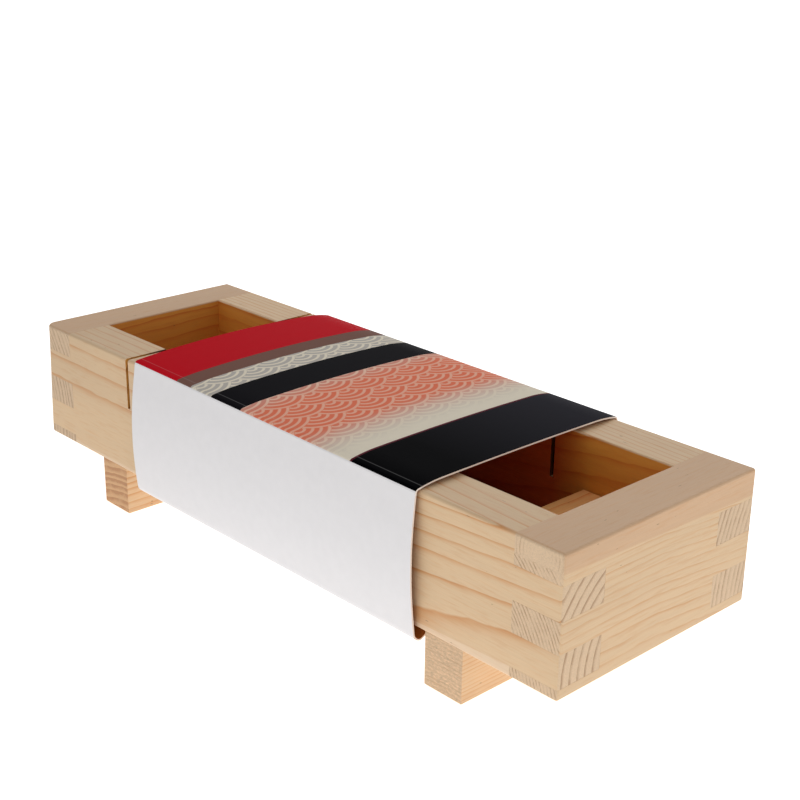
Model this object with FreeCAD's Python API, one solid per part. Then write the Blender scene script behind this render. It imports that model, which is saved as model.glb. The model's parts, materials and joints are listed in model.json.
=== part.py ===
"""Wooden box press for pressed sushi, closed for sale with a printed card sleeve.

A finger-jointed frame drops over a base that stands on two feet. A press lid with two
battens lies on the base, inside the frame. Saw kerfs across both long walls guide the
knife when the pressed block is cut into slices.

Units are millimetres. X runs along the press, Y across it and Z up. The origin is on
the table, under the middle of the press.
"""
import FreeCAD
import Part
import math
import os

Vector = FreeCAD.Vector

# ---------------------------------------------------------------- driving dimensions
# Frame: four boards, glued at finger-jointed corners
frame_length = 225.0
frame_width = 74.0
frame_height = 38.0
side_board_thickness = 15.0
end_board_thickness = 15.0

# Finger joints: the fingers of the side boards show on the end faces
finger_height = 9.2
finger_pitch = 17.65
lowest_finger = 3.1

# Easing of the arrises, sanded after the frame is glued. One corner is rounded off at its top.
corner_radius = 0.8
rounded_corner_radius = 3.6
top_easing = 0.8
bottom_easing = 0.9
mouth_easing = 0.4

# Knife guides: saw kerfs down from the top edge of both side boards
kerf_width = 1.3
kerf_depth = 16.2
kerf_count = 5
first_slice = 33.7
last_slice = 40.1

# Plates that fit inside the frame
slip_clearance = 0.4
plate_corner_radius = 1.0
plate_easing = 0.5
base_plate_thickness = 6.0
lid_plate_thickness = 6.0

# Feet under the base
foot_width = 13.3
foot_height = 15.8
foot_setback = 0.5
foot_inset = 37.5
foot_easing = 0.6

# Battens on the press lid
handle_width = 13.3
handle_height = 10.4
handle_inset = 36.5
handle_easing = 0.8

# Machine brads of flat wire, shot through a plate into the batten behind it
brad_width = 1.25
brad_depth = 1.0
brad_head_width = 2.0
brad_head_thickness = 0.6
brad_length = 13.5
brad_point = 1.2
brad_edge_distance = 10.6

# Card sleeve, folded round the frame and tucked under both side boards. It sits a little to
# the rear and a little turned, and its left end stands further open than its right end, with
# the front fold lifted there.
card_thickness = 0.45
card_gap = 0.15
sleeve_left_room = 10.3
sleeve_right_room = 2.1
sleeve_side_room = 0.85
sleeve_rear_shift = 0.3
sleeve_turn = 0.45
sleeve_shoulder_radius = 43.0
sleeve_sag = 3.5
upper_fold_radius = 0.7
lower_fold_radius = 2.2
flap_margin = 1.8
flap_land = 5.0
left_top_rise = 2.2
left_shoulder_slope = 14.5
left_side_bow = 2.3
left_lower_room = 2.2
left_front_slope = 6.5
right_top_rise = 1.1
right_shoulder_slope = 11.5
right_side_bow = 1.35
right_lower_room = 0.7
right_front_slope = 11.5
rear_side_bow = 0.844
rear_lower_room = 0.4

# ---------------------------------------------------------------- worked-out dimensions
inner_length = frame_length - 2 * end_board_thickness
inner_width = frame_width - 2 * side_board_thickness
plate_length = inner_length - 2 * slip_clearance
plate_width = inner_width - 2 * slip_clearance
foot_length = frame_width - 2 * foot_setback
foot_place = frame_length / 2 - foot_inset
handle_place = frame_length / 2 - handle_inset

frame_bottom = foot_height
frame_top = frame_bottom + frame_height
lid_bottom = frame_bottom + base_plate_thickness
handle_bottom = lid_bottom + lid_plate_thickness

finger_count = int((frame_height - lowest_finger - finger_height) // finger_pitch) + 1
kerf_pitch = (inner_length - first_slice - last_slice) / (kerf_count - 1)


# ---------------------------------------------------------------- helpers
def block(x_range, y_range, z_range):
    """Box between two limits on each axis."""
    low, high = zip(sorted(x_range), sorted(y_range), sorted(z_range))
    size = [h - l for l, h in zip(low, high)]
    return Part.makeBox(*size, Vector(*low))


def centred_block(length, width, x_centre, z_range):
    """Box centred on the press across its width, at x_centre along it."""
    x_range = (x_centre - length / 2, x_centre + length / 2)
    return block(x_range, (-width / 2, width / 2), z_range)


def edges_where(shape, test):
    """Edges whose two ends both pass the test."""
    return [e for e in shape.Edges if all(test(v.Point) for v in e.Vertexes)]


def upright_edges(shape):
    """Edges that stand along Z."""
    return [e for e in shape.Edges
            if len(e.Vertexes) == 2 and abs((e.Vertexes[0].Point - e.Vertexes[1].Point).z) > 1
            and abs(e.Vertexes[0].X - e.Vertexes[1].X) < 1e-6
            and abs(e.Vertexes[0].Y - e.Vertexes[1].Y) < 1e-6]


def at_height(z):
    """Test for points at one height."""
    return lambda point: abs(point.z - z) < 1e-6


def save(name, shape):
    """Write one piece of the press, or one group of brads, as a STEP file."""
    shape.exportStep("parts/" + name + ".step")


# ---------------------------------------------------------------- frame
def glued_frame():
    """The four boards as one ring, with its arrises sanded."""
    ring = centred_block(frame_length, frame_width, 0, (frame_bottom, frame_top))

    def at_rounded_corner(edge):
        place = edge.Vertexes[0].Point
        return place.x < 0 and place.y < 0

    sharp = [edge for edge in upright_edges(ring) if not at_rounded_corner(edge)]
    ring = ring.makeFillet(corner_radius, sharp)
    rounded = [edge for edge in upright_edges(ring)
               if at_rounded_corner(edge) and abs(edge.Vertexes[0].X + frame_length / 2) < 1e-6
               and abs(edge.Vertexes[0].Y + frame_width / 2) < 1e-6]
    first_height, last_height = [rounded[0].valueAt(end).z for end in rounded[0].ParameterRange]
    radii = (corner_radius, rounded_corner_radius)
    if first_height > last_height:
        radii = radii[::-1]
    ring = ring.makeFillet(*radii, rounded)
    ring = ring.makeFillet(bottom_easing, edges_where(ring, at_height(frame_bottom)))
    ring = ring.makeFillet(top_easing, edges_where(ring, at_height(frame_top)))
    cavity = centred_block(inner_length, inner_width, 0, (frame_bottom, frame_top))
    ring = ring.cut(cavity)

    def on_mouth(point):
        inside = abs(point.x) < inner_length / 2 + 1e-6 and abs(point.y) < inner_width / 2 + 1e-6
        return inside and abs(point.z - frame_top) < 1e-6

    return ring.makeFillet(mouth_easing, edges_where(ring, on_mouth))


def side_board_room(side):
    """Space that one side board takes: its length between the end boards, plus its fingers."""
    y_range = (side * inner_width / 2, side * frame_width / 2)
    body = block((-inner_length / 2, inner_length / 2), y_range, (frame_bottom, frame_top))
    fingers = []
    for number in range(finger_count):
        z_low = frame_bottom + lowest_finger + number * finger_pitch
        fingers.append(block((-frame_length / 2, frame_length / 2), y_range,
                             (z_low, z_low + finger_height)))
    return body.fuse(fingers).removeSplitter()


def knife_kerfs():
    """Saw cuts across both side boards, one between each two slices."""
    first = -inner_length / 2 + first_slice
    cuts = []
    for number in range(kerf_count):
        cuts.append(centred_block(kerf_width, frame_width, first + number * kerf_pitch,
                                  (frame_top - kerf_depth, frame_top)))
    return cuts


def frame_boards():
    """The frame's four boards, cut from the sanded ring along the finger joints."""
    ring = glued_frame()
    front_room = side_board_room(-1)
    rear_room = side_board_room(1)
    kerfs = knife_kerfs()
    boards = {
        "side_board_front": ring.common(front_room).cut(kerfs),
        "side_board_rear": ring.common(rear_room).cut(kerfs),
    }
    ends = ring.cut([front_room, rear_room])
    for name, side in (("end_board_left", -1), ("end_board_right", 1)):
        x_range = (side * inner_length / 2, side * frame_length / 2)
        half = block(x_range, (-frame_width / 2, frame_width / 2), (frame_bottom, frame_top))
        boards[name] = ends.common(half)
    return boards


# ---------------------------------------------------------------- base and lid
def plate(z_low, thickness):
    """Plate that fits the inside of the frame, with its top edge taken off."""
    board = centred_block(plate_length, plate_width, 0, (z_low, z_low + thickness))
    board = board.makeFillet(plate_corner_radius, upright_edges(board))
    return board.makeChamfer(plate_easing, edges_where(board, at_height(z_low + thickness)))


def foot(x_centre):
    """Batten under the base, its lower arrises eased."""
    batten = centred_block(foot_width, foot_length, x_centre, (0, foot_height))
    return batten.makeChamfer(foot_easing, edges_where(batten, at_height(0)))


def handle(x_centre):
    """Batten on the press lid, its upper arrises rounded for the fingers."""
    z_high = handle_bottom + handle_height
    batten = centred_block(handle_width, plate_width, x_centre, (handle_bottom, z_high))
    return batten.makeFillet(handle_easing, edges_where(batten, at_height(z_high)))


def brad(x, y, z_head, direction):
    """Flat-wire brad with its head flush at z_head and a chisel point, up (1) or down (-1)."""
    shank = brad_width / 2
    head = brad_head_width / 2
    one_side = [(head, 0), (head, brad_head_thickness), (shank, brad_head_thickness),
                (shank, brad_length - brad_point)]
    outline = one_side + [(0, brad_length)] + [(-w, depth) for w, depth in reversed(one_side)]
    points = [Vector(x + w, y - brad_depth / 2, z_head + direction * depth)
              for w, depth in outline + outline[:1]]
    return Part.Face(Part.makePolygon(points)).extrude(Vector(0, brad_depth, 0))


def brads(batten_place, z_head, direction):
    """Four brads, two into each batten."""
    y_place = plate_width / 2 - brad_edge_distance
    places = [(x, y) for x in (-batten_place, batten_place) for y in (-y_place, y_place)]
    return [brad(x, y, z_head, direction) for x, y in places]


def base_and_lid():
    """Base on its feet and press lid with its battens, both held by brads."""
    base_brads = brads(foot_place, frame_bottom + base_plate_thickness, -1)
    lid_brads = brads(handle_place, lid_bottom, 1)
    return {
        "base_plate": plate(frame_bottom, base_plate_thickness).cut(base_brads),
        "base_foot_left": foot(-foot_place).cut(base_brads),
        "base_foot_right": foot(foot_place).cut(base_brads),
        "base_brads": Part.makeCompound(base_brads),
        "lid_plate": plate(lid_bottom, lid_plate_thickness).cut(lid_brads),
        "lid_handle_left": handle(-handle_place).cut(lid_brads),
        "lid_handle_right": handle(handle_place).cut(lid_brads),
        "lid_brads": Part.makeCompound(lid_brads),
    }


# ---------------------------------------------------------------- card sleeve
def arc(start, middle, end):
    """Arc through three points of the sleeve's section, given as (y, z)."""
    return Part.Arc(*[Vector(0, y, z) for y, z in (start, middle, end)]).toShape()


def line(start, end):
    """Straight run of the sleeve's section, given as (y, z)."""
    return Part.makeLine(*[Vector(0, y, z) for y, z in (start, end)])


def fold(start, corner, end):
    """Quarter-round fold between two points, rounding off the corner."""
    bulge = math.sqrt(2) - 1
    middle = [(a + b) / 2 * (1 - bulge) + c * bulge for a, b, c in zip(start, end, corner)]
    return arc(start, middle, end)


def top_arch(half_width, springing, rise, slope, front_slope):
    """Flat three-centred arch as the points (fold, middle, joint) of its rear shoulder, its
    crown, and the same of its front shoulder. The shoulders leave the crown at its slope.

    The rear shoulder comes down to the springing at the given slope. The front one is less
    steep, so that the front fold lies higher.
    """
    slope, front_slope = math.radians(slope), math.radians(front_slope)
    radius = sleeve_shoulder_radius
    centre_y = half_width - radius * math.sin(slope)
    centre_z = -radius * math.cos(slope)
    drop = centre_z - rise
    crown = (radius ** 2 - centre_y ** 2 - drop ** 2) / (2 * (drop + radius))
    lean = math.asin(centre_y / (crown - radius))
    joint = (centre_y + radius * math.sin(lean), springing + centre_z + radius * math.cos(lean))
    run = half_width - joint[0]

    def shoulder(side, end_slope):
        chord = (lean + end_slope) / 2
        fall = run * math.tan(chord)
        swell = math.hypot(run, fall) / 2 * math.tan((chord - lean) / 2)
        middle = (joint[0] + run / 2 + swell * math.sin(chord),
                  joint[1] - fall / 2 + swell * math.cos(chord))
        points = (half_width, joint[1] - fall), middle, joint
        return [(side * y, z) for y, z in points]

    return shoulder(1, slope), (0, springing + rise), shoulder(-1, front_slope)


def sleeve_side(side, bow, lower_room, fold_top):
    """Inner line of one flap and one side panel, from the flap's free edge to the top fold."""
    wall = frame_width / 2
    panel = wall + sleeve_side_room
    low = frame_bottom - sleeve_sag
    seat = frame_bottom - card_gap
    flap_edge = inner_width / 2 + flap_margin
    flap_end = (flap_edge, seat)
    land_end = (flap_edge + flap_land, seat)
    lower = (wall + lower_room, low + lower_fold_radius)
    under = (lower[0] - lower_fold_radius, low)
    upper = (panel, fold_top - card_gap - upper_fold_radius)
    middle = (panel + bow, (lower[1] + upper[1]) / 2)
    over = (panel - upper_fold_radius, fold_top)
    points = [flap_end, land_end, under, lower, middle, upper, over]
    flap_end, land_end, under, lower, middle, upper, over = [(side * y, z) for y, z in points]
    return [line(flap_end, land_end), line(land_end, under),
            fold(under, (lower[0], under[1]), lower),
            arc(lower, middle, upper),
            fold(upper, (upper[0], over[1]), over)]


def sleeve_section(x, rise, slope, front_slope, bow, lower_room):
    """Outline of the card across the press at x: flap, side, arched top, side, flap."""
    half_width = frame_width / 2 + sleeve_side_room - upper_fold_radius
    springing = frame_top + card_gap
    rear, crown, front = top_arch(half_width, springing, rise, slope, front_slope)
    arch = [arc(*rear), arc(rear[-1], crown, front[-1]), arc(*front)]
    sides = sleeve_side(1, rear_side_bow, rear_lower_room, rear[0][1])
    sides += sleeve_side(-1, bow, lower_room, front[0][1])
    strip = Part.Wire(Part.__sortEdges__(sides + arch))
    section = strip.makeOffset2D(card_thickness, 0, True, True)
    section.translate(Vector(x, sleeve_rear_shift, 0))
    return section.OuterWire if section.ShapeType == "Face" else section


def card_sleeve():
    """Sleeve as one strip of card, more arched and more bowed at its left end."""
    between_feet = foot_place - foot_width / 2
    left = sleeve_section(-between_feet + sleeve_left_room, left_top_rise, left_shoulder_slope,
                          left_front_slope, left_side_bow, left_lower_room)
    right = sleeve_section(between_feet - sleeve_right_room, right_top_rise,
                           right_shoulder_slope, right_front_slope, right_side_bow,
                           right_lower_room)
    sleeve = Part.makeLoft([left, right], True, True)
    sleeve.rotate(Vector(0, 0, 0), Vector(0, 0, 1), -sleeve_turn)
    return sleeve


# ---------------------------------------------------------------- all pieces
os.makedirs("parts", exist_ok=True)
pieces = {**frame_boards(), **base_and_lid(), "card_sleeve": card_sleeve()}
for piece_name, piece_shape in pieces.items():
    save(piece_name, piece_shape)
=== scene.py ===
"""A wooden box press for pressed sushi, in its printed card sleeve, on a white table.

The boards are planed pine. Each one has its own run of growth rings, which follow from where the
middle of the tree was. The sleeve is one strip of card, bowed at its sides and arched on top.
Sizes are in millimetres. The table, the lamp and the camera have their places in metres.
"""
import json
import math

import bmesh
import bpy
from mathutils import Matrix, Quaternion, Vector

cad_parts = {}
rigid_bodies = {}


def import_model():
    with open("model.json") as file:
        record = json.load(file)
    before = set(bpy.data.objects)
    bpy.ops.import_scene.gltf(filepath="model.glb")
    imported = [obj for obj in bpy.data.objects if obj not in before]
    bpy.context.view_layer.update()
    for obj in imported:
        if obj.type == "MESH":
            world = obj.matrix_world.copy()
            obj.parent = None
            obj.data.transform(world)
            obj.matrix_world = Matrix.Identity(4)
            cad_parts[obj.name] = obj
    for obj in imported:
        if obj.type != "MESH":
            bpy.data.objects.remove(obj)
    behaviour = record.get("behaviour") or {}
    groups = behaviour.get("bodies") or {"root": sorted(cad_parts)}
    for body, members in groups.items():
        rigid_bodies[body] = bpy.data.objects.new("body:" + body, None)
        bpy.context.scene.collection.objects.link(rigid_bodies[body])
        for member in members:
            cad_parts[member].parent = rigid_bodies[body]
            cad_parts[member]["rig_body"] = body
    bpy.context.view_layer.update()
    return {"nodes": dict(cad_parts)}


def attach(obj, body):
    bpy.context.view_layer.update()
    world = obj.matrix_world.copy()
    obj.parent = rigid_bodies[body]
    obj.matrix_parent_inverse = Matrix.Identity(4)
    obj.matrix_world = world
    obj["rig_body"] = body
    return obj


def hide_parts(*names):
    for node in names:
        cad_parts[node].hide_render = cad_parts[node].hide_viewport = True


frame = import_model()

MM = 0.001
PER_METRE = 1000.0

FRAME_HALF_LENGTH = 112.5
FRAME_HALF_WIDTH = 37.0
INSIDE_HALF_LENGTH = 97.5
INSIDE_HALF_WIDTH = 22.0
FRAME_BOTTOM = 15.8
FRAME_TOP = 53.8


# ------------------------------------------------------------------ colours
def paint(red, green, blue):
    """Screen colour, 0 to 255, as the linear colour that a shader takes."""
    linear = []
    for value in (red, green, blue):
        share = value / 255
        linear.append(share / 12.92 if share <= 0.04045 else ((share + 0.055) / 1.055) ** 2.4)
    return (*linear, 1.0)


# ------------------------------------------------------------------ wiring of node trees
class Flow:
    """A number, colour or vector that runs through a node tree, with plain arithmetic on it."""

    def __init__(self, tree, socket):
        self.tree, self.socket = tree, socket

    def math(self, operation, *others):
        """One step of arithmetic on this flow and the values after it."""
        node = self.tree.nodes.new("ShaderNodeMath")
        node.operation = operation
        for socket, value in zip(node.inputs, (self, *others)):
            plug(self.tree, value, socket)
        return Flow(self.tree, node.outputs[0])

    def __add__(self, other):
        return self.math("ADD", other)

    def __sub__(self, other):
        return self.math("SUBTRACT", other)

    def __mul__(self, other):
        return self.math("MULTIPLY", other)

    def __truediv__(self, other):
        return self.math("DIVIDE", other)

    def __pow__(self, other):
        return self.math("POWER", other)

    def __abs__(self):
        return self.math("ABSOLUTE")

    def above(self, edge):
        """1 above the edge, else 0."""
        return self.math("GREATER_THAN", edge)

    def below(self, edge):
        """1 below the edge, else 0."""
        return self.math("LESS_THAN", edge)

    def between(self, low, high):
        """1 between the two edges, else 0."""
        return self.above(low) * self.below(high)

    def ramp(self, low, high):
        """0 below low, 1 above high and an even rise between them. It also runs downhill."""
        return feed(self.tree, "ShaderNodeMapRange", "Result", Value=self, From_Min=low,
                    From_Max=high)

    def from_to(self, first, second):
        """first where this is 0, second where this is 1 and an even change between them."""
        return self * (second - first) + first

    def parts(self):
        """The three parts of a vector."""
        node = self.tree.nodes.new("ShaderNodeSeparateXYZ")
        plug(self.tree, self, node.inputs[0])
        return [Flow(self.tree, socket) for socket in node.outputs]


def plug(tree, value, socket):
    """Join a flow to a socket, or set the socket to a plain value."""
    if isinstance(value, Flow):
        tree.links.new(value.socket, socket)
    else:
        socket.default_value = value


def feed(tree, kind, output=0, settings=None, **inputs):
    """Add a node, set it up, feed its inputs by name and return one output."""
    node = tree.nodes.new(kind)
    for name, value in (settings or {}).items():
        setattr(node, name, value)
    for name, value in inputs.items():
        plug(tree, value, node.inputs[name.replace("_", " ")])
    return Flow(tree, node.outputs[output])


def triple(tree, x, y, z):
    """Vector from its three parts."""
    return feed(tree, "ShaderNodeCombineXYZ", X=x, Y=y, Z=z)


def slant(first, second):
    """Straight distance over two sides that meet square."""
    return (first * first + second * second) ** 0.5


def cloud(tree, place, scale=1.0, detail=2.0, output="Fac"):
    """Soft noise between 0 and 1."""
    return feed(tree, "ShaderNodeTexNoise", output, Vector=place, Scale=scale, Detail=detail)


def blend(tree, share, first, second, method="MIX"):
    """The first colour where share is 0, and the second mixed into it where it is more."""
    return feed(tree, "ShaderNodeMix", 2, {"data_type": "RGBA", "blend_type": method},
                Factor=share, A=first, B=second)


def shaded(tree, colour, level):
    """A colour made darker or lighter by a number near 1."""
    return feed(tree, "ShaderNodeVectorMath", 0, {"operation": "SCALE"}, Vector=colour,
                Scale=level)


def turned(tree, place, angle):
    """A place turned about the upright axis."""
    return feed(tree, "ShaderNodeVectorRotate", "Vector", {"rotation_type": "Z_AXIS"},
                Vector=place, Angle=angle)


def add_sockets(tree, way, kind, names, values=None):
    """Give a group one socket for each name, with its plain value where there is one."""
    for name in names:
        socket = tree.interface.new_socket(name, in_out=way, socket_type="NodeSocket" + kind)
        if values:
            socket.default_value = values[name]


def group_flows(tree):
    """What flows into a group, by name."""
    source = tree.nodes.new("NodeGroupInput")
    return {socket.name: Flow(tree, socket) for socket in source.outputs if socket.name}


def new_material(name):
    """Empty node material and its principled shader."""
    material = bpy.data.materials.new(name)
    material.use_nodes = True
    tree = material.node_tree
    shader = next(node for node in tree.nodes if node.type == "BSDF_PRINCIPLED")
    return material, tree, shader


def object_point(tree):
    """Place on the piece and its unturned normal, the place in millimetres."""
    coordinates = tree.nodes.new("ShaderNodeTexCoord")
    place = shaded(tree, Flow(tree, coordinates.outputs["Object"]), PER_METRE)
    return place, Flow(tree, coordinates.outputs["Normal"])


def raised(tree, shader, height, depth):
    """Bump the shader by a height between 0 and 1 that stands for depth millimetres."""
    bump = feed(tree, "ShaderNodeBump", "Normal", Height=height, Distance=depth * MM)
    plug(tree, bump, shader.inputs["Normal"])


# ------------------------------------------------------------------ pieces
def new_object(name, data):
    """Object in the scene, at its origin until it is placed."""
    thing = bpy.data.objects.new(name, data)
    bpy.context.scene.collection.objects.link(thing)
    return thing


def settle(piece):
    """Turn a piece with modifiers into a plain mesh."""
    bpy.context.view_layer.update()
    shown = piece.evaluated_get(bpy.context.evaluated_depsgraph_get())
    mesh = bpy.data.meshes.new_from_object(shown)
    piece.modifiers.clear()
    piece.data = mesh


# ------------------------------------------------------------------ pine
EARLY_WOOD = paint(221, 190, 151)
LATE_WOOD = paint(200, 134, 70)
EARLY_END = paint(217, 188, 154)
LATE_END = paint(158, 117, 80)
BROWN_END = paint(208, 162, 114)
BROWN_LATE = paint(174, 112, 58)
CALM_WOOD = paint(212, 175, 138)
PALE_WOOD = paint(230, 202, 170)
SPECK = paint(150, 118, 84)
# Painted shade, multiplied into the wood: warm inside the frame, darker under the sleeve, and in
# the kerfs.
SHELTER_SHADE = paint(252, 198, 98)
DEEP_SHADE = paint(222, 145, 138)
KERF_SHADE = paint(245, 203, 118)
KERF_DEPTH_SHADE = paint(110, 90, 90)

# Where a change in the wood or in its painted shade starts, and where it is full. These five run
# along and up the board.
CROOK = (45.0, -55.0)
LEFT_HALF = (10.0, -10.0)
TO_LEFT_END = (-50.0, -95.0)
TO_RIGHT_END = (60.0, 98.0)
UPPER_HALF = (26.0, 38.0)
# These run in towards a pith, in under the sleeve and from the mouth of a kerf to its inner end.
HEART = (5.5, 2.5)
UNDER_SLEEVE = (70.0, 58.0)
INTO_KERF = (31.0, 25.0)
# A face shows end grain by how squarely it cuts the grain.
END_FACE = (0.6, 0.8)

# Half the width over which the edge of a calm, clear or pale strip blurs.
CALM_BLUR = 0.2
CLEAR_BLUR = 1.5
PALE_BLUR = 0.12

# The share of a ring at which it is darkest. From there to the next ring it ends.
RING_END = 0.96
# End grain of a long board that lies this near to the middle of the press was cut by a kerf.
KERF_REACH = 90.0
# How deep the grain stands in the surface, and how far apart two seeds lie in the noise.
GRAIN_DEPTH = 0.06
SEED_STEP = 37.0

# What changes from face to face of a board.
FACE_INPUTS = ("End Grain", "Shelter", "Depth", "Kerf", "Kerf Depth")
# What a board can say of its wood, and what holds where it says nothing.
RING_INPUTS = {
    "Pith Across": 0.0, "Pith Up": -60.0, "Ring Width": 2.0, "Ring Shift": 0.0,
    "Lean Across": 0.0, "Lean Up": 0.0, "Crook Across": 0.0, "Crook Up": 0.0,
    "Wander": 2.5, "Uneven": 2.2, "Ripple": 0.4, "Late Wood": 1.0, "Late Start": 0.4,
    "Broken": 0.5, "End Share": 1.6, "Mottle": 0.0, "Brown": 0.0, "Calm Height": 500.0,
    "Calm Slope": 0.0, "Calm Pith Up": 0.0, "Clear Height": -500.0, "Pale Height": -500.0,
    "Pale Rise": 0.0, "Tone": 1.0, "Left Painted Shade": 0.0, "Seed": 0.0,
}


class Plank:
    """A point in a plank whose grain runs along X, and what the group is told of the plank."""

    def __init__(self, tree, given):
        self.tree, self.given = tree, given
        self.along, self.across, self.up = given["Place"].parts()
        self.end = given["End Grain"]
        self.seed = given["Seed"] * SEED_STEP

    def noise(self, length, breadth, detail=2.0, output="Fac"):
        """Noise drawn out along the grain, in patches of about length by breadth."""
        place = triple(self.tree, self.along / length + self.seed, self.across / breadth,
                       self.up / breadth)
        return cloud(self.tree, place, detail=detail, output=output)


def pine_rings():
    """Pine of one plank whose grain runs along X, as a group of nodes.

    A ring is a tube round the pith, the middle of the tree, which lies across and up from the
    plank and leans, crooks and wanders along it. Each ring darkens outwards and ends sharply.
    """
    tree = bpy.data.node_groups.new("pine_rings", "ShaderNodeTree")
    add_sockets(tree, "INPUT", "Vector", ["Place"])
    add_sockets(tree, "INPUT", "Float", FACE_INPUTS)
    add_sockets(tree, "INPUT", "Float", RING_INPUTS, RING_INPUTS)
    add_sockets(tree, "OUTPUT", "Color", ["Colour"])
    add_sockets(tree, "OUTPUT", "Float", ["Roughness", "Height"])
    plank = Plank(tree, group_flows(tree))

    calm = calm_strip(plank)
    radius, drift = pith_distance(plank, calm)
    mottle = end_mottle(plank)
    late = ring_lines(plank, calm, radius, mottle)
    fibre = plank.noise(11.0, 0.32, 3.0) - 0.5
    colour = wood_colour(plank, calm, late)
    colour = shaded(tree, colour, wood_level(plank, fibre, drift, mottle))

    out = tree.nodes.new("NodeGroupOutput")
    plug(tree, in_shade(plank, colour), out.inputs["Colour"])
    plug(tree, fibre * 0.3 + late.from_to(0.62, 0.52), out.inputs["Roughness"])
    plug(tree, fibre * 0.9 + late * 0.15 + 0.5, out.inputs["Height"])
    return tree


def calm_strip(plank):
    """1 above the calm height, where the plank was cut nearer to a pith and shows few lines."""
    edge = plank.given["Calm Height"]
    height = plank.up - plank.along * plank.given["Calm Slope"]
    return height.ramp(edge - CALM_BLUR, edge + CALM_BLUR)


def pith_distance(plank, calm):
    """Distance from the pith at a point, and the plank's slow change of tone.

    The pith leans off evenly towards the right end, and steps aside once on its way to the left.
    """
    given = plank.given
    drift_across, drift_up, tone = plank.noise(130.0, 300.0, 1.0, "Color").parts()
    to_right = plank.along.math("MAXIMUM", 0.0)
    crook = plank.along.ramp(*CROOK)
    pith_across = given["Pith Across"] * calm.from_to(1.0, 0.0)
    pith_up = calm.from_to(given["Pith Up"], given["Calm Pith Up"])
    from_pith = plank.across - pith_across - to_right * given["Lean Across"]
    from_pith = from_pith - crook * given["Crook Across"]
    from_pith = from_pith - (drift_across - 0.5) * given["Wander"] * 2.0
    above_pith = plank.up - pith_up - to_right * given["Lean Up"] - crook * given["Crook Up"]
    above_pith = above_pith - (drift_up - 0.5) * given["Wander"]
    return slant(from_pith, above_pith), tone


def end_mottle(plank):
    """Coarse mottle of the end grain, on both sides of 0."""
    place = triple(plank.tree, plank.across / 1.1, plank.up / 0.5, plank.seed)
    return (cloud(plank.tree, place, detail=1.5) - 0.5) * plank.given["Mottle"] * plank.end


def ring_lines(plank, calm, radius, mottle):
    """How dark the late wood is at a point, 0 to 1.

    The lines thin out in the calm strip and near its pith. They are missing below the clear
    height of the left half, and are broken along their length.
    """
    tree, given, end = plank.tree, plank.given, plank.end
    uneven = cloud(tree, triple(tree, radius * 0.13, plank.seed, 0.0), detail=1.0) - 0.5
    ripple = plank.noise(17.0, 5.0) + plank.noise(5.0, 1.8, 1.0) * 0.35 - 0.675
    ring = radius / given["Ring Width"] + uneven * given["Uneven"] + ripple * given["Ripple"]
    late = late_wood(plank, ring + given["Ring Shift"]) * end.from_to(1.0, given["End Share"])
    late = late * (calm * end.from_to(1.0, 0.6)).from_to(1.0, 0.1)
    clear = plank.up.ramp(given["Clear Height"] + CLEAR_BLUR, given["Clear Height"] - CLEAR_BLUR)
    late = late * (clear * plank.along.ramp(*LEFT_HALF)).from_to(1.0, 0.0)
    late = late * (calm * radius.ramp(*HEART)).from_to(1.0, 0.0)
    broken = given["Broken"] + end * 0.35
    drawn = plank.noise(20.0, 2.4).ramp(0.35, 0.65)
    late = late * (drawn * broken + broken * -0.6 + 1.0) * (mottle * 5.0 + 1.0)
    return late.math("MAXIMUM", 0.0).math("MINIMUM", 1.0)


def late_wood(plank, ring):
    """Dark late wood of each ring, 0 to 1: a soft rise outwards, then a sharp end."""
    end = plank.end
    number, share = ring.math("FLOOR"), ring.math("FRACT")
    draw = feed(plank.tree, "ShaderNodeTexWhiteNoise", "Value", {"noise_dimensions": "1D"},
                W=number + plank.seed)
    rise = share.ramp(draw * 0.15 + plank.given["Late Start"], RING_END) ** end.from_to(2.4, 1.0)
    strength = draw * end.from_to(0.4, 0.9) + end.from_to(0.65, 0.45)
    return rise * share.ramp(1.0, RING_END) * strength * plank.given["Late Wood"]


def wood_colour(plank, calm, late):
    """Colour from the early wood to the late wood, with the pale edge, flecks and resin ducts."""
    tree, given, end = plank.tree, plank.given, plank.end
    pale_top = given["Pale Height"] + plank.along.ramp(*TO_RIGHT_END) * given["Pale Rise"]
    pale = plank.up.ramp(pale_top + PALE_BLUR, pale_top - PALE_BLUR)
    early_end = blend(tree, given["Brown"], EARLY_END, BROWN_END)
    late_end = blend(tree, given["Brown"], LATE_END, BROWN_LATE)
    early = blend(tree, pale, blend(tree, calm, EARLY_WOOD, CALM_WOOD), PALE_WOOD)
    early = blend(tree, end, early, early_end)
    late_share = late * (pale * -0.6 + end * -0.1 + 0.85)
    colour = blend(tree, late_share, early, blend(tree, end, LATE_WOOD, late_end))
    fleck = plank.noise(7.0, 0.7).ramp(0.5, 0.75) * end.from_to(0.22, 0.0)
    colour = blend(tree, fleck, colour, LATE_WOOD)
    duct = plank.noise(2.2, 0.5, 0.0).ramp(0.85, 0.87) * end.from_to(0.8, 0.0)
    return blend(tree, duct, colour, SPECK)


def wood_level(plank, fibre, drift, mottle):
    """How light or dark the wood is at a point, round the plank's own tone, with painted shade on
    the top of its left end.
    """
    given, end = plank.given, plank.end
    broad = plank.noise(70.0, 9.0) - 0.5
    level = fibre * end.from_to(0.14, 0.44) + broad * 0.12 + (drift - 0.5) * 0.08 + mottle * 0.9
    # Painted shade: the top of the left end is darker, as less light falls there.
    left_top_shade = plank.along.ramp(*TO_LEFT_END) * plank.up.ramp(*UPPER_HALF)
    return (level + 1.0) * (given["Tone"] + left_top_shade * given["Left Painted Shade"])


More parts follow.
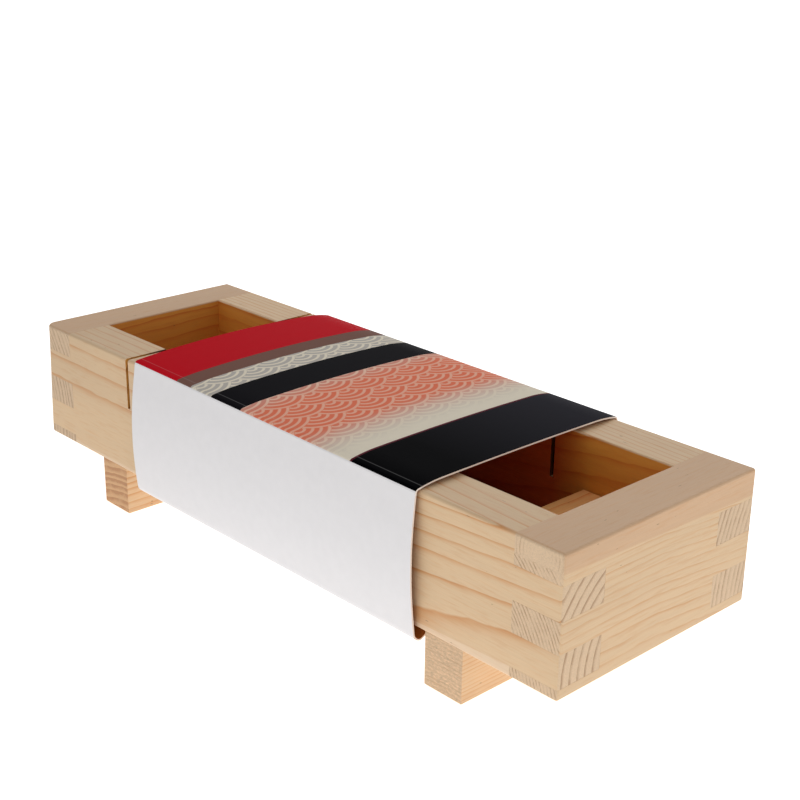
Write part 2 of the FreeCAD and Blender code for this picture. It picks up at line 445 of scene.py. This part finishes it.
def in_shade(plank, colour):
    """The colour with painted shade: warm inside the frame, darker under the sleeve and in the
    kerfs.
    """
    shades = {"Shelter": SHELTER_SHADE, "Depth": DEEP_SHADE, "Kerf": KERF_SHADE,
              "Kerf Depth": KERF_DEPTH_SHADE}
    for label, shade in shades.items():
        colour = blend(plank.tree, plank.given[label], colour, shade, "MULTIPLY")
    return colour


def inside_frame(far_x, far_y, z):
    """1 inside the walls of the frame, 0 on its rims and outside."""
    inside = far_x.ramp(INSIDE_HALF_LENGTH + 0.4, INSIDE_HALF_LENGTH + 0.1)
    inside = inside * far_y.ramp(INSIDE_HALF_WIDTH + 0.4, INSIDE_HALF_WIDTH + 0.1)
    inside = inside * z.ramp(FRAME_TOP - 0.3, FRAME_TOP - 0.6)
    return inside * z.ramp(FRAME_BOTTOM + 0.1, FRAME_BOTTOM + 0.5)


def pine(name, rings, grain, middle=0.0, shelter=1.0, deep=1.0, sheen=0.5, **board):
    """Pine for one board. grain is the axis that it was cut along, middle its place across.

    It takes painted shade inside the frame and under the sleeve, by the shares shelter and deep.
    """
    material, tree, shader = new_material(name)
    place, normal = object_point(tree)
    x, y, z = place.parts()
    far_x, far_y = abs(x), abs(y)
    normal_x, normal_y, _ = normal.parts()
    if grain == "X":
        place, end = triple(tree, x, y - middle, z), abs(normal_x).ramp(*END_FACE)
        # End faces near the middle are kerf walls, which take painted shade, darker deeper in.
        kerf = end * far_x.below(KERF_REACH)
    else:
        place, end = triple(tree, y, x - middle, z), abs(normal_y).ramp(*END_FACE)
        kerf = 0.0
    inside = inside_frame(far_x, far_y, z)
    # Shelter, Depth, Kerf and Kerf Depth are the shares of painted shade on this face.
    told = {"Place": place, "End Grain": end, "Shelter": inside * shelter,
            "Depth": inside * far_x.ramp(*UNDER_SLEEVE) * deep, "Kerf": kerf,
            "Kerf Depth": far_y.ramp(*INTO_KERF) * kerf}
    told.update({label.replace("_", " ").title(): value for label, value in board.items()})
    node = tree.nodes.new("ShaderNodeGroup")
    node.node_tree = rings
    for label, value in told.items():
        plug(tree, value, node.inputs[label])
    colour, roughness, height = [Flow(tree, socket) for socket in node.outputs]
    plug(tree, colour, shader.inputs["Base Color"])
    plug(tree, roughness, shader.inputs["Roughness"])
    shader.inputs["Specular IOR Level"].default_value = sheen
    raised(tree, shader, height, GRAIN_DEPTH)
    return material


# ------------------------------------------------------------------ boards
# The handles are of duller wood. Their tone is raised as painted light, and they take less of the
# painted shade than the walls round them.
HANDLE = dict(shelter=0.6, deep=0.0, sheen=0.1, tone=1.45)

# Each board with the way of its grain, where the pith lay and how its rings run. What lies up
# is measured from the table. What lies across is measured from the middle that a board gives, or
# else from the middle of the press.
BOARDS = {
    "side_board_front": dict(grain="X", pith_across=-1.2, pith_up=15.7, ring_width=2.79,
                             ring_shift=0.68, lean_across=-0.029, lean_up=0.029,
                             crook_across=22.7, crook_up=0.3, wander=0.35, uneven=0.3,
                             ripple=0.18, late_wood=1.15, late_start=0.55, end_share=1.25,
                             broken=0.35, clear_height=30.0, left_painted_shade=-0.09,
                             pale_height=17.2, pale_rise=1.7, seed=1.0),
    "side_board_rear": dict(grain="X", pith_across=126.0, pith_up=6.7, ring_width=1.9,
                            lean_across=-0.045, lean_up=0.03, wander=1.0, uneven=1.0,
                            late_wood=1.05, broken=0.55, end_share=1.05, seed=2.0),
    "end_board_right": dict(grain="Y", middle=105.0, pith_across=-53.0, pith_up=2.0,
                            ring_width=1.05, lean_up=-0.1, calm_height=47.6,
                            calm_slope=-0.03, calm_pith_up=51.3, late_wood=0.6, wander=0.25,
                            uneven=0.8, ripple=0.5, broken=0.9, seed=3.0),
    # The left end board's lower tone is painted shade.
    "end_board_left": dict(grain="Y", middle=-105.0, pith_across=-45.0, pith_up=22.0,
                           ring_width=1.9, late_wood=1.15, end_share=0.85, tone=0.93,
                           calm_height=53.3, calm_pith_up=22.0, seed=4.0),
    "base_plate": dict(grain="X", pith_across=8.0, pith_up=-70.0, ring_width=2.6,
                       shelter=0.0, deep=0.0, seed=5.0),
    "lid_plate": dict(grain="X", pith_across=-15.0, pith_up=90.0, ring_width=2.4,
                      shelter=0.25, deep=0.0, seed=6.0),
    "base_foot_left": dict(grain="Y", middle=-75.0, pith_across=12.0, pith_up=-66.0,
                           ring_width=2.2, late_start=0.15, end_share=2.0, brown=0.85,
                           tone=1.03, seed=7.0),
    "base_foot_right": dict(grain="Y", middle=75.0, pith_across=3.0, pith_up=-60.0,
                            ring_width=1.1, late_wood=0.8, end_share=0.5, mottle=1.0,
                            brown=0.25, tone=0.97, seed=8.0),
    "lid_handle_left": dict(grain="Y", middle=-76.0, pith_across=-30.0, pith_up=70.0,
                            ring_width=1.8, seed=9.0, **HANDLE),
    "lid_handle_right": dict(grain="Y", middle=76.0, pith_across=30.0, pith_up=80.0,
                             ring_width=2.0, seed=10.0, **HANDLE),
}

# How far an arris is eased, and how near two points are welded into one.
EASING = 0.08
WELD = 0.002
# The turn between two faces: up to the first they are one face, past the second their arris is
# eased, and past the third it is shaded as an edge.
FLAT_TURN = math.radians(1.0)
ARRIS_TURN = math.radians(55.0)
SHARP_TURN = math.radians(32.0)


def whole_faces(mesh):
    """Weld a mesh of triangles and join those that lie in one plane."""
    build = bmesh.new()
    build.from_mesh(mesh)
    bmesh.ops.remove_doubles(build, verts=build.verts, dist=WELD * MM)
    bmesh.ops.dissolve_limit(build, angle_limit=FLAT_TURN, verts=build.verts, edges=build.edges)
    bmesh.ops.recalc_face_normals(build, faces=build.faces)
    build.to_mesh(mesh)
    build.free()


def eased_board(node_name, body, material):
    """Copy of a board with its sharp arrises broken, so that each glue line shows as a groove."""
    mesh = frame["nodes"][node_name].data.copy()
    mesh.name = "eased_" + node_name
    whole_faces(mesh)
    mesh.materials.clear()
    mesh.materials.append(material)
    piece = new_object("eased_" + node_name, mesh)
    bevel = piece.modifiers.new("easing", "BEVEL")
    bevel.width = EASING * MM
    bevel.segments = 2
    bevel.limit_method = "ANGLE"
    bevel.angle_limit = ARRIS_TURN
    bevel.use_clamp_overlap = True
    settle(piece)
    piece.data.shade_smooth()
    piece.data.set_sharp_from_angle(angle=SHARP_TURN)
    flatness = piece.modifiers.new("flat_faces", "WEIGHTED_NORMAL")
    flatness.mode = "FACE_AREA"
    flatness.weight = 100
    flatness.keep_sharp = True
    settle(piece)
    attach(piece, body)
    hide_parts(node_name)


def dress_boards():
    """Every board of the frame, base and lid in its own pine."""
    rings = pine_rings()
    for node_name, board in BOARDS.items():
        body = frame["nodes"][node_name]["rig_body"]
        eased_board(node_name, body, pine("pine_" + node_name, rings, **board))


# ------------------------------------------------------------------ brads
DULL_STEEL = paint(150, 150, 152)
BRIGHT_STEEL = paint(196, 195, 192)
SCRATCH_DEPTH = 0.02


def brad_steel():
    """Drawn steel wire, a little dull, with fine scratches."""
    material, tree, shader = new_material("brad_steel")
    place, _ = object_point(tree)
    x, y, z = place.parts()
    scratches = cloud(tree, triple(tree, x * 9.0, y * 1.2, z * 1.2), detail=3.0)
    spots = cloud(tree, place, scale=1.4)
    plug(tree, blend(tree, spots, DULL_STEEL, BRIGHT_STEEL), shader.inputs["Base Color"])
    plug(tree, scratches * 0.25 + 0.3, shader.inputs["Roughness"])
    shader.inputs["Metallic"].default_value = 1.0
    raised(tree, shader, scratches, SCRATCH_DEPTH)
    return material


def dress_brads():
    """The brads of the base and of the lid in steel."""
    steel = brad_steel()
    for node_name in ("base_brads", "lid_brads"):
        brads = frame["nodes"][node_name].data
        brads.materials.clear()
        brads.materials.append(steel)


# ------------------------------------------------------------------ shape of the card sleeve
# The thickness of the card, and its gap to the wood that it lies on.
CARD = 0.45
CARD_GAP = 0.15
# Where a side panel stands at its top, the radius of the rear shoulder, how far the lower folds
# hang below the frame, the radii of the folds, and a flap's edge and how much of it lies flat.
PANEL = FRAME_HALF_WIDTH + 0.85
SHOULDER_RADIUS = 43.0
SAG = 3.5
UPPER_FOLD = 0.7
LOWER_FOLD = 2.2
FLAP_EDGE = INSIDE_HALF_WIDTH + 1.8
FLAP_LAND = 5.0
# Where the sleeve ends, how it is turned on the frame and how far it stands to the rear.
SLEEVE_LEFT = -58.05
SLEEVE_RIGHT = 66.25
SLEEVE_TURN = math.radians(-0.45)
REAR_SHIFT = 0.3

# The section at each end: the rise of the crown, the slopes of the two shoulders in degrees, the
# bow of the front side, and the room between the frame and its lower fold. The rear side has the
# same bow and room at both ends.
LEFT_SECTION = dict(rise=2.2, slope=14.5, front_slope=6.5, bow=2.3, lower_room=2.2)
RIGHT_SECTION = dict(rise=1.1, slope=11.5, front_slope=11.5, bow=1.35, lower_room=0.7)
REAR_SIDE = dict(bow=0.844, lower_room=0.4)

# The card has slack in slow waves, all of it where a side bows out this far past the panel.
SLACK = 0.25
SLACK_BOW = 0.6
WAVES_PER_METRE = 34.0
# The points along the card, and the turn past which a fold is shaded as an edge.
CARD_COLUMNS = 60
FOLD_TURN = math.radians(50.0)


def arc_points(start, middle, end, steps):
    """Points (y, z) on the arc through three points, without the last."""
    (ax, ay), (bx, by), (cx, cy) = start, middle, end
    double = 2 * (ax * (by - cy) + bx * (cy - ay) + cx * (ay - by))
    squares = [x * x + y * y for x, y in (start, middle, end)]
    x = (squares[0] * (by - cy) + squares[1] * (cy - ay) + squares[2] * (ay - by)) / double
    y = (squares[0] * (cx - bx) + squares[1] * (ax - cx) + squares[2] * (bx - ax)) / double
    radius = math.hypot(ax - x, ay - y)
    first, half, last = [math.atan2(q - y, p - x) for p, q in (start, middle, end)]
    turn = (last - first) % (2 * math.pi)
    if (half - first) % (2 * math.pi) > turn:
        turn -= 2 * math.pi
    angles = [first + turn * step / steps for step in range(steps)]
    return [(x + radius * math.cos(a), y + radius * math.sin(a)) for a in angles]


def fold_points(start, corner, end, steps):
    """Points on a quarter-round fold, without the last."""
    bulge = math.sqrt(2) - 1
    middle = [(a + b) / 2 * (1 - bulge) + c * bulge for a, b, c in zip(start, end, corner)]
    return arc_points(start, middle, end, steps)


def run_points(start, end, steps):
    """Points on a straight run, without the last."""
    return [tuple(a + (b - a) * step / steps for a, b in zip(start, end)) for step in range(steps)]


def side_points(bow, lower_room, fold_top):
    """Inner line of the rear flap and side panel, up to the start of the arched top."""
    low = FRAME_BOTTOM - SAG
    seat = FRAME_BOTTOM - CARD_GAP
    land_end = (FLAP_EDGE + FLAP_LAND, seat)
    lower = (FRAME_HALF_WIDTH + lower_room, low + LOWER_FOLD)
    under = (lower[0] - LOWER_FOLD, low)
    upper = (PANEL, fold_top - CARD_GAP - UPPER_FOLD)
    middle = (PANEL + bow, (lower[1] + upper[1]) / 2)
    over = (PANEL - UPPER_FOLD, fold_top)
    points = run_points((FLAP_EDGE, seat), land_end, steps=3)
    points += run_points(land_end, under, steps=6)
    points += fold_points(under, (lower[0], under[1]), lower, steps=8)
    points += arc_points(lower, middle, upper, steps=26)
    return points + fold_points(upper, (upper[0], over[1]), over, steps=5)


def top_points(rise, slope, front_slope):
    """Arched top from its rear fold to its front fold: a shoulder, the crown, a shoulder.

    Both shoulders leave the crown at its slope. Each comes down to its fold at the slope given
    for it, and where the front one is less steep, its fold lies higher.
    """
    slope, front_slope = math.radians(slope), math.radians(front_slope)
    half_width = PANEL - UPPER_FOLD
    springing = FRAME_TOP + CARD_GAP
    centre_y = half_width - SHOULDER_RADIUS * math.sin(slope)
    centre_z = -SHOULDER_RADIUS * math.cos(slope)
    drop = centre_z - rise
    crown = (SHOULDER_RADIUS ** 2 - centre_y ** 2 - drop ** 2) / (2 * (drop + SHOULDER_RADIUS))
    lean = math.asin(centre_y / (crown - SHOULDER_RADIUS))
    joint = (centre_y + SHOULDER_RADIUS * math.sin(lean),
             springing + centre_z + SHOULDER_RADIUS * math.cos(lean))
    run = half_width - joint[0]

    def shoulder(end_slope):
        """Points from the fold up to the crown."""
        chord = (lean + end_slope) / 2
        fall = run * math.tan(chord)
        swell = math.hypot(run, fall) / 2 * math.tan((chord - lean) / 2)
        middle = (joint[0] + run / 2 + swell * math.sin(chord),
                  joint[1] - fall / 2 + swell * math.cos(chord))
        return arc_points((half_width, joint[1] - fall), middle, joint, steps=10)

    front_joint = (-joint[0], joint[1])
    crown_points = arc_points(joint, (0.0, springing + rise), front_joint, steps=30)
    front = [(-y, z) for y, z in reversed(shoulder(front_slope))]
    return shoulder(slope) + crown_points + [front_joint] + front


def sleeve_section(rise, slope, front_slope, bow, lower_room):
    """Inner line of the card from the rear flap up, over the top and down to the front flap."""
    top = top_points(rise, slope, front_slope)
    rear_side = side_points(fold_top=top[0][1], **REAR_SIDE)
    front_side = side_points(bow, lower_room, fold_top=top[-1][1])
    return rear_side + top + [(-y, z) for y, z in reversed(front_side)]


def card_tree(card_material):
    """Card stretched along X between the points of its left and right sections, then turned."""
    tree = bpy.data.node_groups.new("wrap_card", "GeometryNodeTree")
    add_sockets(tree, "INPUT", "Geometry", ["Sections"])
    add_sockets(tree, "INPUT", "Float", ["Left End", "Right End", "Rear Shift", "Turn", "Slack"])
    add_sockets(tree, "INPUT", "Int", ["Rows", "Columns"])
    add_sockets(tree, "OUTPUT", "Geometry", ["Card"])
    given = group_flows(tree)
    grid = feed(tree, "GeometryNodeMeshGrid", "Mesh", Size_X=1.0, Size_Y=1.0,
                Vertices_X=given["Columns"], Vertices_Y=given["Rows"])
    card = feed(tree, "GeometryNodeSetPosition", Geometry=grid, Position=card_place(tree, given))
    card = feed(tree, "GeometryNodeFlipFaces", Mesh=card)
    card = feed(tree, "GeometryNodeSetShadeSmooth", Geometry=card)
    card = feed(tree, "GeometryNodeRealizeInstances", Geometry=card)
    card = feed(tree, "GeometryNodeSetMaterial", Geometry=card, Material=card_material)
    out = tree.nodes.new("NodeGroupOutput")
    plug(tree, card, out.inputs["Card"])
    return tree


def card_place(tree, given):
    """Where a point of the flat grid goes on the wrapped card."""
    row = feed(tree, "GeometryNodeInputIndex").math("MODULO", given["Rows"])

    def section_point(number):
        """Across and up of this row's point on the left section, 0, or the right one, 1."""
        point = feed(tree, "GeometryNodeSampleIndex", "Value", {"data_type": "FLOAT_VECTOR"},
                     Geometry=given["Sections"], Value=feed(tree, "GeometryNodeInputPosition"),
                     Index=row + given["Rows"] * float(number))
        return point.parts()[1:]

    share = feed(tree, "GeometryNodeInputPosition").parts()[0] + 0.5
    along = share.from_to(given["Left End"], given["Right End"])
    left_y, left_z = section_point(0)
    right_y, right_z = section_point(1)
    across, up = share.from_to(left_y, right_y), share.from_to(left_z, right_z)
    waves = cloud(tree, triple(tree, along, across, up), scale=WAVES_PER_METRE, detail=1.0)
    panel = abs(across).ramp(PANEL * MM, (PANEL + SLACK_BOW) * MM)
    inwards = across.math("SIGN") * waves * panel * given["Slack"]
    place = triple(tree, along, across - inwards + given["Rear Shift"], up)
    return turned(tree, place, given["Turn"])


def set_input(modifier, name, value):
    """Set a modifier's input by the identifier of its socket."""
    for item in modifier.node_group.interface.items_tree:
        if item.in_out == "INPUT" and item.name == name:
            modifier[item.identifier] = value


def dress_sleeve():
    """The card sleeve, stretched between its two sections and given its thickness."""
    left, right = sleeve_section(**LEFT_SECTION), sleeve_section(**RIGHT_SECTION)
    mesh = bpy.data.meshes.new("sleeve_sections")
    mesh.from_pydata([(0.0, y * MM, z * MM) for y, z in left + right], [], [])
    sleeve = new_object("folded_card_sleeve", mesh)
    wrap = sleeve.modifiers.new("wrap", "NODES")
    wrap.node_group = card_tree(printed_card())
    sizes = {"Left End": SLEEVE_LEFT * MM, "Right End": SLEEVE_RIGHT * MM,
             "Rear Shift": REAR_SHIFT * MM, "Turn": SLEEVE_TURN, "Slack": SLACK * MM,
             "Rows": len(left), "Columns": CARD_COLUMNS}
    for name, value in sizes.items():
        set_input(wrap, name, value)
    settle(sleeve)
    thickness = sleeve.modifiers.new("card", "SOLIDIFY")
    thickness.thickness = CARD * MM
    thickness.offset = 1.0
    thickness.use_even_offset = True
    settle(sleeve)
    sleeve.data.set_sharp_from_angle(angle=FOLD_TURN)
    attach(sleeve, "sleeve")
    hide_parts("card_sleeve")


# ------------------------------------------------------------------ print of the card sleeve
INK_RED = paint(206, 24, 38)
INK_BROWN = paint(128, 94, 84)
INK_BLACK = paint(5, 5, 7)
BLACK_PAINTED_SHEEN = paint(46, 45, 52)
INK_LABEL = paint(20, 19, 23)
INK_SALMON = paint(240, 128, 98)
INK_PALE_SALMON = paint(250, 188, 162)
INK_CREAM = paint(242, 232, 212)
INK_GREY = paint(196, 190, 182)
INK_MAROON = paint(98, 40, 52)
WHITE_CARD = paint(237, 235, 236)
CARD_CORE = paint(252, 238, 226)
# The back of the card is painted brown-orange as shade and warm bounce from the wood.
CARD_BACK_PAINTED_SHADE = paint(190, 116, 56)

# Places along the sleeve where a band of print begins or ends.
RED_END = -36.0
STRIPE_END = -29.0
LABEL_START = -19.0
LABEL_END = -5.0
FIELD_END = 41.5
MAROON_END = 42.2

# The radius of a wave and the lines in it.
WAVE = 9.0
WAVE_LINES = 4.0
# The field of waves is warm near its middle, cooler farther out, and fades to cream at the right.
FIELD_MIDDLE = 12.0
FIELD_WARMTH = (26.0, 10.0)
FIELD_FADE = (24.0, 38.0)
# The black is painted lighter towards the rear, a painted sheen. A line is scored beside the front
# fold.
SHEEN_ACROSS = (-20.0, 38.0)
SCORE_LINE = -35.9
SCORE_WIDTH = (0.2, 0.1)
# How squarely a face looks up where it is printed, and along the press where it is cut card.
PRINTED_FACE = 0.55
CUT_FACE = 0.7
# How the card shines, and how deep its grain is.
CARD_SHEEN = 0.002
CARD_GRAIN = 0.05


def wave_distance(x, y):
    """Distance from the middle of the wave that lies on top at a place, as a share of its radius.

    Waves stand side by side in rows. The rows are half a radius apart, and every other one is
    shifted by a radius.
    """
    across, up = x / WAVE, y / WAVE
    low_row = (up * 2.0).math("FLOOR")
    distances = []
    for step in (1, 0, -1):
        row = low_row - float(step)
        shifted = across - row.math("FLOORED_MODULO", 2.0)
        column = (shifted / 2.0).math("ROUND") * 2.0
        distances.append(slant(shifted - column, up - row / 2.0))
    front, middle, rear = distances
    return covering(front, covering(middle, rear))


def covering(front, behind):
    """The front wave's distance inside that wave, and outside it that of the wave behind."""
    inside = front.below(1.0)
    return front * inside + behind * inside.from_to(1.0, 0.0)


def wave_field(tree, x, y):
    """Overlapping waves, salmon in the middle and grey and cream to both sides."""
    bands = (wave_distance(y, x) * WAVE_LINES).math("FRACT")
    line = bands.ramp(0.5, 0.62) * bands.ramp(1.0, 0.88)
    warm = abs(x - FIELD_MIDDLE).ramp(*FIELD_WARMTH)
    ground = blend(tree, warm, INK_GREY, INK_SALMON)
    crest = blend(tree, warm, INK_CREAM, INK_PALE_SALMON)
    return blend(tree, x.ramp(*FIELD_FADE), blend(tree, line, ground, crest), INK_CREAM)


def top_print(tree, x, y):
    """Ink of the top: red, brown, waves with a black label across them, maroon, and black with a
    painted sheen.
    """
    colour = blend(tree, x.above(RED_END), INK_RED, INK_BROWN)
    colour = blend(tree, x.above(STRIPE_END), colour, wave_field(tree, x, y))
    colour = blend(tree, x.between(LABEL_START, LABEL_END), colour, INK_LABEL)
    colour = blend(tree, x.above(FIELD_END), colour, INK_MAROON)
    # Painted sheen: the black grows lighter towards the rear.
    black = blend(tree, y.ramp(*SHEEN_ACROSS), INK_BLACK, BLACK_PAINTED_SHEEN)
    return blend(tree, x.above(MAROON_END), colour, black)


def inner_face(y, z, normal_y, normal_z):
    """1 on the face of the card that looks in at the wood, 0 outside."""
    middle = (FRAME_BOTTOM + FRAME_TOP) / 2
    inwards = y * normal_y + (z - middle) * normal_z
    return inwards.below(0.0)


def printed_card():
    """Coated card: bare white sides, a printed top, a back painted brown-orange as shade and warm
    bounce from the wood, and a pale cut edge.
    """
    material, tree, shader = new_material("printed_card")
    place, normal = object_point(tree)
    place = turned(tree, place, -SLEEVE_TURN)
    x, y, z = place.parts()
    y = y - REAR_SHIFT
    normal_x, normal_y, normal_z = normal.parts()
    score = abs(y - SCORE_LINE).ramp(*SCORE_WIDTH)
    printed = normal_z.above(PRINTED_FACE) * z.above(FRAME_TOP)

    colour = blend(tree, score * 0.08, top_print(tree, x, y), WHITE_CARD)
    colour = blend(tree, printed, WHITE_CARD, colour)
    # Painted shade on the face that looks in at the wood.
    colour = blend(tree, inner_face(y, z, normal_y, normal_z), colour, CARD_BACK_PAINTED_SHADE)
    colour = blend(tree, abs(normal_x).above(CUT_FACE), colour, CARD_CORE)
    mottle = cloud(tree, place, scale=0.35, detail=4.0)
    plug(tree, shaded(tree, colour, mottle * 0.06 + 0.97), shader.inputs["Base Color"])
    grain = cloud(tree, place, scale=2.2, detail=3.0)
    plug(tree, grain * 0.12 + 0.3, shader.inputs["Roughness"])
    shader.inputs["Specular IOR Level"].default_value = CARD_SHEEN
    raised(tree, shader, grain * 0.15 + score, CARD_GRAIN)
    return material


# ------------------------------------------------------------------ table, light and camera
WHITE = (1.0, 1.0, 1.0, 1.0)
TABLE_WHITE = paint(236, 236, 236)

# How strongly the table glows at the left, at the right, round the press and to the eye. The
# glow grows over a run from left to right, and its pool round the press reaches this far.
LEFT_GLOW = 0.36
RIGHT_GLOW = 0.64
POOL_GLOW = 0.3
SEEN_GLOW = 0.85
GLOW_RUN = (-0.16, 0.12)
POOL_REACH = 0.12
TABLE_HALF = 6.0
TABLE_LEVEL = -0.02 * MM

# The light of the room round its horizon and overhead, and between which heights it changes.
HORIZON = 1.05
OVERHEAD = 0.4
QUIETER = (0.12, 0.5)

# Places in metres, the lens and its sensor in millimetres.
CAMERA_PLACE = (0.29483, -0.25870, 0.19617)
CAMERA_AIM = (0.00419, 0.01393, 0.04733)
CAMERA_ROLL = math.radians(0.768)
CAMERA_LENS = 64.445
CAMERA_SENSOR = 36.0


def seen_directly(tree):
    """1 for what the camera, a gloss or glass sees, 0 for light that lands on the press."""
    path = tree.nodes.new("ShaderNodeLightPath")
    eye, gloss, glass = [Flow(tree, path.outputs[name]) for name in
                         ("Is Camera Ray", "Is Glossy Ray", "Is Transmission Ray")]
    return eye.math("MAXIMUM", gloss).math("MAXIMUM", glass)


def table_white():
    """Matt white that glows a little, most of all round the press."""
    material = bpy.data.materials.new("white_table")
    material.use_nodes = True
    tree = material.node_tree
    tree.nodes.clear()
    seen = seen_directly(tree)
    matt = feed(tree, "ShaderNodeBsdfDiffuse", Color=TABLE_WHITE)
    coordinates = tree.nodes.new("ShaderNodeTexCoord")
    x, y, _ = Flow(tree, coordinates.outputs["Object"]).parts()
    beyond_end = (abs(x) - FRAME_HALF_LENGTH * MM).math("MAXIMUM", 0.0)
    beyond_side = (abs(y) - FRAME_HALF_WIDTH * MM).math("MAXIMUM", 0.0)
    cast = x.ramp(*GLOW_RUN).from_to(LEFT_GLOW, RIGHT_GLOW)
    cast = cast + slant(beyond_end, beyond_side).ramp(POOL_REACH, 0.0) * POOL_GLOW
    glow = feed(tree, "ShaderNodeEmission", Color=WHITE,
                Strength=cast * seen.from_to(1.0, 0.0) + seen * SEEN_GLOW)
    both = tree.nodes.new("ShaderNodeAddShader")
    plug(tree, matt, both.inputs[0])
    plug(tree, glow, both.inputs[1])
    out = tree.nodes.new("ShaderNodeOutputMaterial")
    plug(tree, Flow(tree, both.outputs[0]), out.inputs["Surface"])
    return material


def table():
    """White table top, so large that its rim is out of sight."""
    mesh = bpy.data.meshes.new("table")
    corners = [(x * TABLE_HALF, y * TABLE_HALF, TABLE_LEVEL)
               for x, y in ((-1, -1), (1, -1), (1, 1), (-1, 1))]
    mesh.from_pydata(corners, [], [(0, 1, 2, 3)])
    mesh.materials.append(table_white())
    top = new_object("table", mesh)


def room():
    """White room: bright round the horizon, quieter overhead."""
    world = bpy.data.worlds.new("white_room")
    bpy.context.scene.world = world
    world.use_nodes = True
    tree = world.node_tree
    tree.nodes.clear()
    coordinates = tree.nodes.new("ShaderNodeTexCoord")
    up = Flow(tree, coordinates.outputs["Generated"]).parts()[2]
    lit = up.ramp(*QUIETER).from_to(HORIZON, OVERHEAD)
    seen = seen_directly(tree)
    light = feed(tree, "ShaderNodeBackground", Color=WHITE,
                 Strength=lit * seen.from_to(1.0, 0.0) + seen)
    out = tree.nodes.new("ShaderNodeOutputWorld")
    plug(tree, light, out.inputs["Surface"])


def lamp(name, place, aim, size, power):
    """Large soft lamp turned towards a point."""
    light = bpy.data.lights.new(name, "AREA")
    light.shape = "RECTANGLE"
    light.size, light.size_y = size
    light.energy = power
    thing = new_object(name, light)
    thing.location = place
    thing.rotation_euler = (Vector(aim) - Vector(place)).to_track_quat("-Z", "Y").to_euler()


def camera():
    """Camera in front of the right end, looking down on the press."""
    lens = bpy.data.cameras.new("camera")
    lens.sensor_width = CAMERA_SENSOR
    lens.lens = CAMERA_LENS
    lens.clip_start, lens.clip_end = 0.01, 50.0
    eye = new_object("camera", lens)
    eye.location = CAMERA_PLACE
    eye.rotation_mode = "QUATERNION"
    level = (Vector(CAMERA_AIM) - Vector(CAMERA_PLACE)).to_track_quat("-Z", "Y")
    eye.rotation_quaternion = level @ Quaternion((0.0, 0.0, 1.0), CAMERA_ROLL)
    bpy.context.scene.camera = eye


dress_boards()
dress_brads()
dress_sleeve()
table()
room()
lamp("back_lamp", place=(-0.7, 1.1, 1.0), aim=(0.0, 0.0, 0.03), size=(1.2, 0.8), power=5.5)
camera()

bpy.context.scene.view_settings.view_transform = "Standard"
